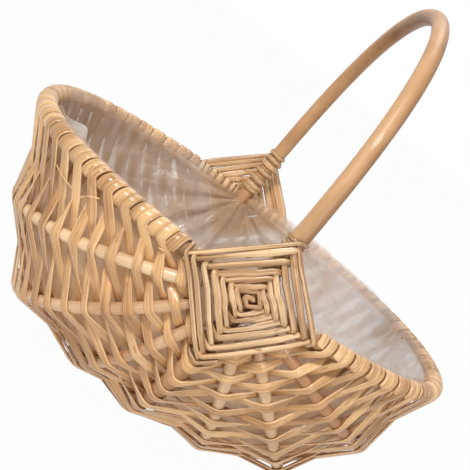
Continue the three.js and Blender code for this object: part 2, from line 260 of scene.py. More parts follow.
def oval(sides, power=2.0):
    """Unit outline with so many sides, anticlockwise: a circle, or a rounded box for powers above 2."""
    angle = 2 * np.pi * np.arange(sides) / sides
    return np.stack([bent(np.cos(angle), power), bent(np.sin(angle), power)], axis=-1)


def carried(centres, sides, lifts, outlines, closed=False):
    """Skin of an outline carried along a path: ring i is centre i plus outline x times side i plus outline y
    times lift i. Returns points, faces, and UV in metres: round the outline, then along the path."""
    rings, count = outlines.shape[:2]
    points = centres[:, None] + outlines[..., :1] * sides[:, None] + outlines[..., 1:] * lifts[:, None]
    spans = rings if closed else rings - 1
    i, j = np.meshgrid(np.arange(spans), np.arange(count), indexing="ij")
    after = (i + 1) % rings
    beside = (j + 1) % count
    quads = np.stack([i * count + j, i * count + beside, after * count + beside, after * count + j], axis=-1)
    loop = np.vstack([centres, centres[:1]]) if closed else centres
    length = travelled(loop)
    middle = outlines[rings // 2]
    girth = travelled(np.vstack([middle, middle[:1]]))
    across = np.stack([girth[j], girth[j + 1], girth[j + 1], girth[j]], axis=-1)
    lengthwise = np.stack([length[i], length[i], length[i + 1], length[i + 1]], axis=-1)
    uv = np.stack([across, lengthwise], axis=-1).reshape(-1, 2)
    faces = quads.reshape(-1, 4).tolist()
    if not closed:
        faces.append(list(range(count - 1, -1, -1)))
        faces.append(list(range((rings - 1) * count, rings * count)))
        uv = np.vstack([uv, np.tile([[0.0, 0.0]], (count, 1)), np.tile([[0.0, length[-1]]], (count, 1))])
    return points.reshape(-1, 3), faces, uv


def put(name, points, faces, uv, finish, marks=None):
    """Mesh object at the origin with smooth faces, a UV map called lay, and point attributes from marks."""
    mesh = bpy.data.meshes.new(name)
    mesh.from_pydata(points.tolist(), [], faces)
    mesh.uv_layers.new(name="lay").data.foreach_set("uv", uv.ravel())
    for key, values in (marks or {}).items():
        mesh.attributes.new(key, "FLOAT", "POINT").data.foreach_set("value", np.ravel(values))
    mesh.polygons.foreach_set("use_smooth", np.ones(len(faces), bool))
    mesh.materials.append(finish)
    mesh.update()
    piece = bpy.data.objects.new(name, mesh)
    scene.collection.objects.link(piece)
    return piece


def ring_of(points_at, normal, count=2400):
    """Closed planar ring evenly spaced by length, with its side (the plane's normal) and its lift."""
    angle = np.linspace(0, 2 * np.pi, count)
    dense = points_at(angle)
    length = travelled(dense)[-1]
    centres = along(dense, np.linspace(0, length, int(length / rod_spacing), endpoint=False))
    runs = unit(np.roll(centres, -1, axis=0) - np.roll(centres, 1, axis=0))
    sides = np.broadcast_to(normal, centres.shape)
    return centres, sides, np.cross(runs, sides)


def rim_at(angle):
    """Oval of the rim: half length and half width times bent sine and cosine."""
    x = rim_half_length * bent(np.sin(angle), rim_fullness)
    y = -rim_half_width * bent(np.cos(angle), rim_fullness)
    return np.stack([x, y, np.full_like(x, mouth_level)], axis=-1)


def hoop_at(angle):
    """Upright hoop: the handle's bent sine above the rim, the keel's below it, in the leaning plane."""
    above = np.sin(angle) >= 0
    rises = np.where(
        above,
        handle_height * bent(np.sin(angle), handle_top_fullness),
        keel_depth * bent(np.sin(angle), keel_fullness),
    )
    outs = np.where(above, bent(np.cos(angle), handle_leg_fullness), bent(np.cos(angle), keel_fullness))
    points = np.outer(rises, hoop_up)
    points[:, 1] -= rim_half_width * outs
    points[:, 2] += mouth_level
    return points


def ranged(tree, value, span):
    """Value carried from the first two numbers of a span to the last two, and held at its ends."""
    return node(tree, "MapRange", {0: value, 1: span[0], 2: span[1], 3: span[2], 4: span[3]}).outputs[0]


def tinted(tree, share, first, second, blend="MIX"):
    """Colour that is the first where the share is 0, and the second or their product where it is 1."""
    return node(tree, "Mix", {0: share, 6: first, 7: second}, data_type="RGBA", blend_type=blend).outputs[2]


def mark(tree, name):
    """Value of a point attribute of the mesh."""
    return node(tree, "Attribute", attribute_name=name).outputs["Fac"]


def willow_grain():
    """Shader group for peeled or split willow. Noise stretched along the UV map gives fibres and slow
    blotches, the tone mark shifts the whole piece, and the edge mark brings in a second colour: the pale cut
    edges of the skeins, partly a painted highlight, painted shade in the lashing's grooves, and a painted
    highlight spot on the handle."""
    group = bpy.data.node_groups.new("willow_grain", "ShaderNodeTree")
    colours = ("Pale", "Deep", "Edge_colour_and_painted_light")
    values = ("Grain", "Edge", "Matt")
    for label in colours + values:
        kind = "NodeSocketColor" if label in colours else "NodeSocketFloat"
        group.interface.new_socket(label, in_out="INPUT", socket_type=kind)
    group.interface.new_socket("Color", in_out="OUTPUT", socket_type="NodeSocketColor")
    group.interface.new_socket("Roughness", in_out="OUTPUT", socket_type="NodeSocketFloat")
    group.interface.new_socket("Height", in_out="OUTPUT", socket_type="NodeSocketFloat")
    given = group.nodes.new("NodeGroupInput").outputs
    result = group.nodes.new("NodeGroupOutput").inputs
    lay = node(group, "UVMap", uv_map="lay").outputs[0]

    def noise(stretch, detail):
        """Noise on the UV map, which is stretched by so many waves to the metre."""
        laid = node(group, "VectorMath", {0: lay, 1: stretch}, operation="MULTIPLY").outputs[0]
        return node(group, "TexNoise", {"Vector": laid, "Scale": 1.0, "Detail": detail}).outputs["Fac"]

    def about_zero(value, strength):
        """Noise moved down by its mean of a half, times a strength."""
        return maths(group, "MULTIPLY", maths(group, "SUBTRACT", value, 0.5), strength)

    fibre = noise(fibre_stretch, detail=2.5)
    streak = noise(streak_stretch, detail=2.0)
    blotch = noise(blotch_stretch, detail=2.0)
    both = maths(group, "SUBTRACT", maths(group, "ADD", fibre, streak), 1.0)
    grained = maths(group, "MULTIPLY", both, given["Grain"])
    grained = maths(group, "ADD", grained, about_zero(blotch, blotch_strength))
    paleness = maths(group, "ADD", grained, mark(group, "tone"), clamp=True)
    body = tinted(group, paleness, given["Deep"], given["Pale"])
    flush = ranged(group, noise(flush_stretch, detail=1.0), flush_span)
    body = tinted(group, flush, body, flush_tint, "MULTIPLY")
    speck = ranged(group, noise(speck_stretch, detail=1.0), speck_span)
    speck = maths(group, "MULTIPLY", speck, given["Grain"], clamp=True)
    body = tinted(group, speck, body, given["Deep"])
    # Edge colour: pale cut edges, painted shade in grooves and a painted highlight spot, by finish.
    ragged = maths(group, "ADD", mark(group, "edge"), about_zero(streak, ragged_strength))
    edge_and_painted_light = maths(group, "MULTIPLY", ranged(group, ragged, edge_and_painted_light_span), given["Edge"])
    uneven = maths(group, "MULTIPLY", about_zero(fibre, given["Grain"]), uneven_roughness)
    height = maths(group, "ADD", maths(group, "MULTIPLY", fibre, fibre_height), streak)
    group.links.new(tinted(group, edge_and_painted_light, body, given["Edge_colour_and_painted_light"]), result["Color"])
    group.links.new(maths(group, "ADD", given["Matt"], uneven, clamp=True), result["Roughness"])
    group.links.new(height, result["Height"])
    return group


grain_group = willow_grain()


def willow(name, pale, deep, edge_and_painted_light, grain, edge, matt, relief, shine=0.5):
    """Willow finish: the grain group feeding colour, roughness and a fine bump, under a thin satin coat."""
    finish = bpy.data.materials.new(name)
    tree = fresh_nodes(finish)
    wood = tree.nodes.new("ShaderNodeGroup")
    wood.node_tree = grain_group
    values = {"Pale": pale, "Deep": deep, "Edge_colour_and_painted_light": edge_and_painted_light, "Grain": grain, "Edge": edge, "Matt": matt}
    for label, value in values.items():
        wood.inputs[label].default_value = value
    height = wood.outputs["Height"]
    bump = node(tree, "Bump", {"Height": height, "Strength": relief, "Distance": grain_depth})
    surface = node(tree, "BsdfPrincipled", {
        "Base Color": wood.outputs["Color"],
        "Roughness": wood.outputs["Roughness"],
        "Normal": bump.outputs[0],
        "Specular IOR Level": shine,
        "Coat Weight": coat_share * shine,
        "Coat Roughness": coat_roughness,
    })
    node(tree, "OutputMaterial", {"Surface": surface.outputs[0]})
    return finish


def hoop(name, points_at, normal, radius, finish, node_name, painted_side_shade=0.0, inner_shade=0.0):
    """Ring of a round rod whose thickness wanders a little, as grown wood does. Painted shade darkens one
    side, most on the near leg, and the inner side too, by the cube of the height; the far leg is paler. The
    painted highlight spot falls off as a bell curve along the rod and by the square of how far it faces."""
    centres, sides, lifts = ring_of(points_at, normal)
    outline = oval(rod_sides)
    turns = 2 * np.pi * np.arange(len(centres)) / len(centres)
    slow, quick = rod_swell_waves
    swell = 1 + rod_unevenness * (np.sin(slow * turns + 1) + np.sin(quick * turns)) / 2
    outlines = outline[None] * (radius * swell)[:, None, None]
    points, faces, uv = carried(centres, sides, lifts, outlines, closed=True)
    height = np.clip((centres[:, 2:] - mouth_level) / handle_height, 0, 1)
    depth = centres[:, 1:2] / rim_half_width
    near = np.clip(handle_near_share - handle_near_gain * depth, 0, 1)
    tone = rod_tone + rod_tone_sway * np.sin(rod_tone_waves * turns)[:, None]
    # Painted shade on one side of the rod, most on the near leg.
    tone = tone - painted_side_shade * near * outline[:, 0]
    # Painted shade on the inner side, growing with the height.
    tone = tone - inner_shade * height ** 3 * (handle_shade_bias + outline[:, 1])
    tone = tone + handle_far_lift * np.clip(depth, 0, 1)
    # Painted highlight spot on the near leg, carried by the edge mark.
    spot_offset = np.linalg.norm(centres - painted_highlight_spot - [0, 0, mouth_level], axis=1)[:, None]
    painted_highlight = np.exp(-(spot_offset / painted_highlight_length) ** 2) * np.clip(outline @ painted_highlight_facing, 0, 1) ** 2
    piece = put(name, points, faces, uv, finish, {"tone": tone, "edge": painted_highlight})
    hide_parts(node_name)
    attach(piece, "root")


rim_finish = willow(
    "peeled_rim_rod", rim_pale_and_painted_shade, rim_deep_and_painted_shade, rim_deep_and_painted_shade, grain=0.5, edge=0.0, matt=0.45, relief=0.3,
)
handle_finish = willow(
    "peeled_handle_rod", handle_pale, handle_deep, handle_painted_highlight,
    grain=0.06, edge=0.8, matt=0.40, relief=0.0, shine=0.25,
)
hoop("rim_rod", rim_at, straight_up, rim_radius, rim_finish, "rim_hoop")
hoop(
    "handle_rod", hoop_at, hoop_side, hoop_radius, handle_finish, "handle_hoop",
    handle_painted_side_shade, handle_inner_shade,
)


# Ribs: three peeled rods a side, fanned evenly between rim and keel from one crossing to the other.
# Their ends are whittled to points and pushed in behind the lashings.
left_rib_reaches = (0.181, 0.181, 0.161)
right_rib_reaches = (0.185, 0.181, 0.161)
rib_radius = 0.0045
rib_tip_radius = 0.002
rib_taper_length = 0.022
rib_tip_distance = 0.033
rib_fullness = 2.3
rib_pale = (0.90, 0.66, 0.40, 1)
rib_deep = (0.46, 0.22, 0.095, 1)
left_rib_tones = (0.75, 0.5, 0.4)
right_rib_tones = (-0.2, 0.5, 0.6)
rib_tone_waver = 0.2
rib_count = len(left_rib_reaches)
rib_step = np.pi / 2 / (rib_count + 1)
path_points = 1600
chance = np.random.default_rng(17)


def waver(count, reach, turns=6, waves=5):
    """Smooth seeded wandering along a length: a few sine waves of random size and phase, within reach."""
    share = np.linspace(0, 1, count)
    rates = chance.uniform(0.5, turns, waves)[:, None]
    phases = chance.uniform(0, 2 * np.pi, waves)[:, None]
    sizes = chance.uniform(0.3, 1.0, waves)[:, None]
    return reach * (sizes * np.sin(2 * np.pi * rates * share + phases)).sum(axis=0) / sizes.sum()


def bow(direction, reach, fullness, first_angle=0.0):
    """Rod bent from the front crossing to the back one: bent sine along direction, bent cosine along Y."""
    angle = np.linspace(first_angle, np.pi - first_angle, path_points)
    points = np.outer(reach * bent(np.sin(angle), fullness), direction)
    points[:, 1] -= rim_half_width * bent(np.cos(angle), fullness)
    points[:, 2] += mouth_level
    return points


def rib_bow(order, side, whole=False):
    """Path of a rib, counted down from the rim, on the left (side -1) or right (side 1); whole runs its line
    on to the crossings, past the tips."""
    angle = (order + 1) * rib_step
    reach = (left_rib_reaches if side < 0 else right_rib_reaches)[order]
    direction = np.array([side * np.cos(angle), 0, -np.sin(angle)])
    first = 0.0 if whole else np.arcsin((rib_tip_distance / reach) ** (rib_fullness / 2))
    return bow(direction, reach, rib_fullness, first)


rib_finish = willow(
    "peeled_rib_rod", rib_pale, rib_deep, rib_deep, grain=0.45, edge=0.0, matt=0.25, relief=0.12,
)
for side, hand, tones in ((-1, "left", left_rib_tones), (1, "right", right_rib_tones)):
    for order in range(rib_count):
        path = rib_bow(order, side)
        length = travelled(path)[-1]
        distances = np.linspace(0, length, int(length / rod_spacing))
        centres = along(path, distances)
        runs = unit(np.gradient(centres, axis=0))
        angle = (order + 1) * rib_step
        normal = np.array([side * np.sin(angle), 0, np.cos(angle)])
        sides = np.broadcast_to(normal, centres.shape)
        lifts = np.cross(runs, sides)
        taper = np.clip(np.minimum(distances, length - distances) / rib_taper_length, 0, 1)
        radii = rib_tip_radius + (rib_radius - rib_tip_radius) * np.sin(taper * np.pi / 2)
        radii = radii * (1 + waver(len(radii), rod_unevenness))
        outlines = oval(rod_sides)[None] * radii[:, None, None]
        points, faces, uv = carried(centres, sides, lifts, outlines)
        tone = np.repeat(tones[order] + waver(len(radii), rib_tone_waver), rod_sides)
        name = f"{hand}_rib_{order + 1}"
        marks = {"tone": tone, "edge": np.zeros(len(points))}
        piece = put(name + "_rod", points, faces, uv, rib_finish, marks)
        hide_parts(name)
        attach(piece, "root")


# Lashings: one long split willow wound square over each crossing, round every rod in turn and on to the next.
# The rows spiral outwards and lie close, with their bends in line on the rods.
lashing_distances = np.array([2.0, 7.0, 12.5, 18.5, 26.0, 34.5, 44.0, 52.0, 58.0]) / 1000
lashing_widths = np.array([3.0, 3.4, 4.0, 4.5, 5.1, 6.0, 5.6, 4.4, 3.7]) / 1000
lashing_distance_jitter = 0.0012
lashing_width_range = (0.78, 1.2)
lashing_thickness = 0.0029
lashing_wrap_thickness = 0.0019
lashing_wrap_start = 0.0088
lashing_wrap_angles = np.radians([25, 335])
lashing_wrap_width_share = 0.85
lashing_bend_width_share = 0.86
lashing_over_share = 0.9
lashing_advance = 0.0016
lashing_sweep = 0.011
lashing_sweep_share = 0.42
lashing_softness = 0.0009
lashing_outline = oval(14)
lay_clearance = 0.0002
lashing_pale = (0.88, 0.61, 0.34, 1)
lashing_deep = (0.33, 0.16, 0.06, 1)
# Painted shade: the lashing's strip edges darkened as the shaded grooves between its rows.
lashing_painted_groove_shade = (0.20, 0.09, 0.03, 1)
front_lashing = {"facing": -1, "end": "front", "fullness": 1.0, "tone": 0.5}
back_lashing = {"facing": 1, "end": "back", "fullness": 1.18, "tone": 0.68}
turn_steps = 20
path_spacing = 0.0012
direction_step = 0.0005
strip_tip_length = 0.0015
strip_tip_least = 0.05
strip_grain_shift = 3.7
strip_tone_waver = 0.28
strip_tone_length = 0.12
left_rim = bow(np.array([-1.0, 0, 0]), rim_half_length, rim_fullness)
right_rim = bow(np.array([1.0, 0, 0]), rim_half_length, rim_fullness)
keel = bow(-hoop_up, keel_depth, keel_fullness)
handle = hoop_at(np.linspace(0, np.pi, path_points))
reach_shares = {"right": 0.96, "handle": 0.92, "left": 0.93, "keel": 0.97}
right_spoke = (right_rim, rim_radius, reach_shares["right"])
handle_spoke = (handle, hoop_radius, reach_shares["handle"])
left_spoke = (left_rim, rim_radius, reach_shares["left"])
keel_spoke = (keel, hoop_radius, reach_shares["keel"])


def smoothed(values, spacing, softness):
    """Running mean under a bell curve of the given softness, out to three times it, with the ends held."""
    reach = int(np.ceil(3 * softness / spacing))
    bell = np.exp(-0.5 * (np.arange(-reach, reach + 1) * spacing / softness) ** 2)
    bell /= bell.sum()
    padded = np.pad(values, ((reach, reach), (0, 0)), mode="edge")
    return np.stack([np.convolve(padded[:, c], bell, mode="valid") for c in range(values.shape[1])], axis=-1)


def strip(name, stations, across, widths, thicknesses, twists, softness, finish, tone, outline):
    """Flat split willow through stations: the path is evened out and softened, the section is an oval whose
    width lies along the given direction, turned about the path by the twist, and closed to a blunt tip at
    both ends as a quarter circle."""
    at = travelled(stations)
    even = np.linspace(0, at[-1], int(at[-1] / path_spacing))
    given = np.column_stack([stations, across, widths, thicknesses, twists])
    given = np.stack([np.interp(even, at, given[:, c]) for c in range(given.shape[1])], axis=-1)
    given = smoothed(given, path_spacing, softness)
    centres, sides, sizes, twist = np.split(given, [3, 6, 8], axis=1)
    runs = unit(np.gradient(centres, axis=0))
    sides = unit(sides - runs * (sides * runs).sum(axis=1, keepdims=True))
    lifts = np.cross(runs, sides)
    turned_sides = np.cos(twist) * sides + np.sin(twist) * lifts
    turned_lifts = np.cos(twist) * lifts - np.sin(twist) * sides
    tip = np.clip(np.minimum(even, at[-1] - even) / strip_tip_length, strip_tip_least, 1)
    close = np.sqrt(1 - (1 - tip) ** 2)
    half_sizes = sizes / 2 * close[:, None]
    points, faces, uv = carried(centres, turned_sides, turned_lifts, outline[None] * half_sizes[:, None])
    uv[:, 1] += strip_grain_shift * chance.random()
    edge = np.tile(np.abs(outline[:, 0]), len(centres))
    shade = tone + waver(len(centres), strip_tone_waver, 1 + at[-1] / strip_tone_length)
    return put(name, points, faces, uv, finish, {"tone": np.repeat(shade, len(outline)), "edge": edge})


def spoke_at(path, distances, facing):
    """Points and directions at distances from the crossing on the front (facing -1) or back (facing 1)."""
    reach = travelled(path)[-1]
    at = np.asarray(distances) if facing < 0 else reach - np.asarray(distances)
    ahead = -facing * direction_step
    points = along(path, at)
    return points, unit(along(path, at + ahead) - along(path, at - ahead))


def lashing_corner(path, radius, distance, width, facing):
    """Stations of one corner: on to the rod at a slant, once round it, over itself, and off at a slant. Along
    the rod, out from its front and sideways are measured from the point at the given distance from the
    crossing. Corners next to the crossing only pass over its front."""
    if distance < lashing_wrap_start:
        points, away = spoke_at(path, np.array([distance]), facing)
        front = np.array([[0.0, facing, 0.0]])
        height = hoop_radius + lashing_thickness
        return points + front * height, away, np.array([width]), np.array([lashing_thickness])
    wrap = radius + lay_clearance + lashing_wrap_thickness / 2
    over = wrap + lashing_over_share * lashing_thickness
    sweep = min(lashing_sweep, lashing_sweep_share * distance)
    angle = np.linspace(*lashing_wrap_angles, turn_steps)
    advance = np.linspace(0, lashing_advance, turn_steps)
    onward = np.concatenate([[-sweep, 0], advance, [lashing_advance, lashing_advance - sweep]])
    height = np.concatenate([[over, wrap], wrap * np.cos(angle), [over, over]])
    sideways = np.concatenate([[-sweep, 0], wrap * np.sin(angle), [0, sweep]])
    bend_width = lashing_bend_width_share * width
    wrap_widths = np.full(turn_steps, lashing_wrap_width_share * width)
    widths = np.concatenate([[width, bend_width], wrap_widths, [bend_width, width]])
    flat = np.full(turn_steps, lashing_wrap_thickness)
    thicknesses = np.concatenate([[lashing_thickness] * 2, flat, [lashing_thickness] * 2])
    points, away = spoke_at(path, distance + onward, facing)
    outward = np.array([0.0, facing, 0.0])
    front = unit(outward - away * (away @ outward)[:, None])
    wind = np.cross(front, away)
    return points + front * height[:, None] + wind * sideways[:, None], away, widths, thicknesses


# Its edge colour is painted shade in the grooves between the rows.
lashing_finish = willow(
    "split_lashing", lashing_pale, lashing_deep, lashing_painted_groove_shade, grain=1.4, edge=1.0, matt=0.29, relief=0.4,
)
for lashing in (front_lashing, back_lashing):
    facing = lashing["facing"]
    end = lashing["end"]
    spokes = [right_spoke, handle_spoke, left_spoke, keel_spoke]
    if facing > 0:
        spokes = [right_spoke, keel_spoke, left_spoke, handle_spoke]
    loops = np.arange(len(lashing_distances))
    corners = []
    for corner in range(4 * (len(loops) - 1)):
        path, radius, reach_share = spokes[corner % 4]
        distance = reach_share * np.interp(corner / 4, loops, lashing_distances)
        distance += chance.uniform(-lashing_distance_jitter, lashing_distance_jitter)
        width = lashing["fullness"] * np.interp(corner / 4, loops, lashing_widths)
        width *= chance.uniform(*lashing_width_range)
        corners.append(lashing_corner(path, radius, distance, width, facing))
    stations, across, widths, thicknesses = [np.concatenate(part) for part in zip(*corners)]
    piece = strip(
        f"{end}_lashing", stations, across, widths, thicknesses, np.zeros(len(widths)),
        lashing_softness, lashing_finish, lashing["tone"], lashing_outline,
    )
    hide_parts(f"{end}_eye_lashing")
    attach(piece, "root")


# Weave: split willow skeins. Each goes from the right rim over and under the ribs to the left rim, is wrapped
# round it, and comes back one row on; rows next to each other take opposite sides of every rib.
skein_count = 28
row_count = 2 * skein_count
skein_width = 0.0073
skein_crown = 0.0017
skein_softness = 0.0019
skein_outline = oval(14, 2.25)
weave_start = 0.0554
rib_hidden_lengths = (0.009, 0.006, 0.009)
row_jitter = 0.004
crossing_angles = np.radians([-28, 0, 28])
first_width_range = (0.75, 1.12)
first_twist_range = (-0.12, 0.12)
slack_width_range = (0.7, 1.05)
slack_twist_range = (0.05, 0.6)
crossing_width_range = (0.85, 1.2)
crossing_twist_range = (-0.2, 0.2)
left_wrap_width = 0.0086
right_wrap_width = 0.0069
wrap_width_range = (0.95, 1.05)
wrap_crown = 0.0031
wrap_centre = rim_radius + lay_clearance + wrap_crown / 2
turns_per_wrap = 1.5
rim_turns_per_skein = 1.5
cut_end_share = 0.1
turn_pitch = 2 / row_count / rim_turns_per_skein
half_wrap = turns_per_wrap / 2 * turn_pitch
cut_length = cut_end_share * turn_pitch
end_turn = (half_wrap - cut_length) / turn_pitch * 2 * np.pi
broad_range = (1.05, 1.25)
right_broad_share = 0.78
narrow_range = (0.7, 0.9)
edgewise_range = (0.5, 1.0)
skein_tone = 0.5
skein_tone_range = (-0.26, 0.26)
skein_pale = (0.86, 0.555, 0.265, 1)
skein_deep = (0.36, 0.16, 0.05, 1)
# Pale cut edges of the split skeins, partly a painted highlight where the edges catch light.
skein_cut_and_painted_highlight = (0.88, 0.62, 0.36, 1)
left_ribs = [rib_bow(order, -1) for order in range(rib_count)]
right_ribs = [rib_bow(order, 1) for order in range(rib_count)]
warps = [(left_rim, rim_radius, weave_start)]
warps += [(path, rib_radius, hidden) for path, hidden in zip(left_ribs, rib_hidden_lengths)]
warps += [(keel, hoop_radius, weave_start)]
warps += [(path, rib_radius, hidden) for path, hidden in zip(right_ribs[::-1], rib_hidden_lengths[::-1])]
warps += [(right_rim, rim_radius, weave_start)]
last_warp = len(warps) - 1


def on_warp(order, share):
    """Points and directions on a warp rod at shares of its woven length."""
    path, _, start = warps[order]
    distances = start + np.asarray(share) * (travelled(path)[-1] - 2 * start)
    runs = unit(along(path, distances + direction_step) - along(path, distances - direction_step))
    return along(path, distances), runs


def wall_frame(order, share):
    """Point, run of the rod, outward side and direction across the rods of the wall on a warp."""
    points, runs = on_warp(order, share)
    if order in (0, last_warp):
        across = np.broadcast_to(-straight_up if order == 0 else straight_up, points.shape)
    else:
        across = on_warp(order + 1, share)[0] - on_warp(order - 1, share)[0]
    outs = unit(np.cross(runs, across))
    return points, runs, outs, unit(np.cross(outs, runs))


def crossing(row, order, step):
    """Stations of a row over one rod: a short arc round it, outside when row and rod add up to an odd sum."""
    share = (row + 0.5) / row_count + chance.uniform(-row_jitter, row_jitter)
    point, run, out, across = wall_frame(order, share)
    radius = warps[order][1] + lay_clearance + skein_crown / 2
    side = 1 if (row + order) % 2 else -1
    angle = step * crossing_angles[:, None]
    arc = np.cos(angle) * out * side + np.sin(angle) * across
    return point + radius * arc, np.broadcast_to(run, arc.shape)


def row_stations(row, step):
    """Stations of a whole row, with a slack one halfway to the next rod, where the skein narrows and twists.
    Returns points, directions of the width, widths, crowns and twists."""
    orders = np.arange(1, last_warp)[::step]
    stops = [crossing(row, order, step) for order in orders]
    stop_size = len(crossing_angles)
    points = [stops[0][0]]
    sides = [stops[0][1]]
    widths = [np.full(stop_size, chance.uniform(*first_width_range))]
    twists = [np.full(stop_size, chance.uniform(*first_twist_range))]
    for before, after in zip(stops[:-1], stops[1:]):
        half = (before[0][-1:] + after[0][:1]) / 2
        points += [half, after[0]]
        sides += [unit(before[1][-1:] + after[1][:1]), after[1]]
        widths += [np.array([chance.uniform(*slack_width_range)])]
        widths += [np.full(stop_size, chance.uniform(*crossing_width_range))]
        twists += [np.array([chance.choice([-1, 1]) * chance.uniform(*slack_twist_range)])]
        twists += [np.full(stop_size, chance.uniform(*crossing_twist_range))]
    widths = skein_width * np.concatenate(widths)
    crowns = np.full(len(widths), skein_crown)
    return [np.concatenate(points), np.concatenate(sides), widths, crowns, np.concatenate(twists)]


def halfway(before, after, width, twist):
    """One slack station between two legs of a skein."""
    point = (before[0][-1:] + after[0][:1]) / 2
    side = unit(before[1][-1:] + after[1][:1])
    return [point, side, np.array([width]), np.array([skein_crown]), np.array([twist])]


def tangent_angle(order, share, station, sense):
    """Angle at which a skein from a station meets the wrap round the rim on a tangent."""
    point, _, out, _ = wall_frame(order, share)
    offset = station - point
    flat = np.array([offset @ out, offset[2]])
    return np.arctan2(flat[1], flat[0]) + sense * np.arccos(wrap_centre / np.linalg.norm(flat))


def unwound(angle, target):
    """The angle itself, moved by whole turns to the nearest place to a target."""
    return angle + 2 * np.pi * np.round((target - angle) / (2 * np.pi))


def rim_wrap(order, share_from, share_to, angle_from, angle_to):
    """Helix round the rim between two shares of its woven length and two angles."""
    steps = max(4, int(abs(angle_to - angle_from) / (2 * np.pi) * turn_steps))
    share = np.linspace(share_from, share_to, steps + 1)
    angle = np.linspace(angle_from, angle_to, steps + 1)[:, None]
    points, runs, outs, _ = wall_frame(order, share)
    around = outs * np.cos(angle) + straight_up * np.sin(angle)
    width = right_wrap_width if order == last_warp else left_wrap_width
    widths = np.full(steps + 1, width * chance.uniform(*wrap_width_range))
    crowns = np.full(steps + 1, wrap_crown)
    return [points + wrap_centre * around, runs, widths, crowns, np.zeros(steps + 1)]


skein_nodes = sorted(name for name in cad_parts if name.startswith("skein_"))
node_places = (np.arange(len(skein_nodes)) + 0.5) / len(skein_nodes)
nearest = np.round(node_places * skein_count - 0.5).astype(int)
replaced = dict(zip(nearest.tolist(), skein_nodes))
skein_finish = willow(
    "split_skein", skein_pale, skein_deep, skein_cut_and_painted_highlight, grain=1.15, edge=0.6, matt=0.28, relief=0.5,
)
for index in range(skein_count):
    out_row = 2 * index
    back_row = out_row + 1
    outward = row_stations(out_row, -1)
    homeward = row_stations(back_row, 1)

    head_share = out_row / row_count
    head_leave = head_share + half_wrap
    head_angle = unwound(tangent_angle(last_warp, head_leave, outward[0][0], -1), np.pi)
    head = rim_wrap(last_warp, head_share + cut_length, head_leave, head_angle - end_turn, head_angle)

    turn_share = back_row / row_count
    arrive = turn_share - half_wrap
    leave = turn_share + half_wrap
    arrive_angle = unwound(tangent_angle(0, arrive, outward[0][-1], -1), np.pi)
    leave_target = arrive_angle - turns_per_wrap * 2 * np.pi
    leave_angle = unwound(tangent_angle(0, leave, homeward[0][0], 1), leave_target)
    turn = rim_wrap(0, arrive, leave, arrive_angle, leave_angle)

    tail_share = (back_row + 1) / row_count
    tail_arrive = tail_share - half_wrap
    tail_angle = unwound(tangent_angle(last_warp, tail_arrive, homeward[0][-1], 1), 0)
    tail = rim_wrap(last_warp, tail_arrive, tail_share - cut_length, tail_angle, tail_angle + end_turn)

    broad = skein_width * chance.uniform(*broad_range, 2) * [1.0, right_broad_share]
    narrow = skein_width * chance.uniform(*narrow_range, 2)
    edgewise = chance.choice([-1, 1], 2) * chance.uniform(*edgewise_range, 2)
    legs = (
        head,
        halfway(head, outward, narrow[0], edgewise[0]),
        outward,
        halfway(outward, turn, narrow[1], edgewise[1]),
        turn,
        halfway(turn, homeward, broad[0], chance.uniform(*crossing_twist_range)),
        homeward,
        halfway(homeward, tail, broad[1], chance.uniform(*crossing_twist_range)),
        tail,
    )
    stations, across, widths, crowns, twists = [np.concatenate(part) for part in zip(*legs)]
    name = replaced.get(index, f"packing_skein_{index + 1:02d}")
    tone = skein_tone + chance.uniform(*skein_tone_range)
    piece = strip(
        name + "_split", stations, across, widths, crowns, twists,
        skein_softness, skein_finish, tone, skein_outline,
    )
    if index in replaced:
        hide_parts(name)
    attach(piece, "root")


# Loose fibres: thin shreds of willow split off the skeins, a little proud of the left wall, with both ends
# tucked in. Each is given by three places on the wall: the rod, counted from the left rim in parts of a bay,
# and the share of the woven length.
fibre_places = (
    ((0.31, 0.281), (0.35, 0.243), (0.43, 0.213)),
    ((0.46, 0.203), (0.33, 0.180), (0.27, 0.158)),
    ((0.45, 0.050), (0.42, 0.040), (0.45, 0.033)),
)
fibre_width = 0.0012
fibre_thickness = 0.0007
fibre_standing = 0.0055
fibre_tucked = 0.0018
fibre_softness = 0.004
fibre_tone = 0.95

for index, places in enumerate(fibre_places):
    knots = []
    runs = []
    for standing, (order, share) in zip((fibre_tucked, fibre_standing, fibre_tucked), places):
        before = wall_frame(int(order), share)
        after = wall_frame(int(order) + 1, share)
        part = order - int(order)
        point = before[0] * (1 - part) + after[0] * part
        out = unit(before[2] * (1 - part) + after[2] * part)
        knots.append(point + standing * out)
        runs.append(before[1])
    level_run = np.ones(len(knots))
    piece = strip(
        f"loose_fibre_{index + 1}", np.array(knots), np.array(runs),
        fibre_width * level_run, fibre_thickness * level_run, 0 * level_run,
        fibre_softness, skein_finish, fibre_tone, skein_outline,
    )
    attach(piece, "root")


# Liner: clear soft film laid inside the weave and over the lower halves of the lashings, open at the mouth.
# It is slack between the rods, creased where it was pushed in, and stands up over the rim in a few places.
liner_clearance = 0.0008
liner_slack = 0.0031
liner_rows = 170
liner_columns = 25
liner_cap_rows = 24
liner_cap_inset = 0.0042
liner_cap_hole_share = 0.1
liner_cap_fade = 0.3
liner_easing_share = 0.05
crease_depth = 0.0050
crease_count = 14
crease_rates = np.array([34, 5.5])
crease_phase = 6.3
crease_mean = 0.63
lip_columns = 5
lip_height = 0.0066
lip_waver = 0.0012
lip_waver_turns = 20
far_rise = 0.0055
fold_height = 0.0052
fold_lean = 0.0045
fold_place = 0.172
fold_reach = 0.013
fold_waver = 0.6
fold_waver_turns = 32
veil_rise = 0.004
veil_place = 0.315
veil_reach = 0.035
wall_hold = 0.88
cap_hold = 0.62
lip_hold = 0.34
fold_hold = 0.3
veil_hold = 0.4
far_hold = 0.30
film_map_side = 0.5
film_haze = (0.84, 0.75, 0.64, 1)
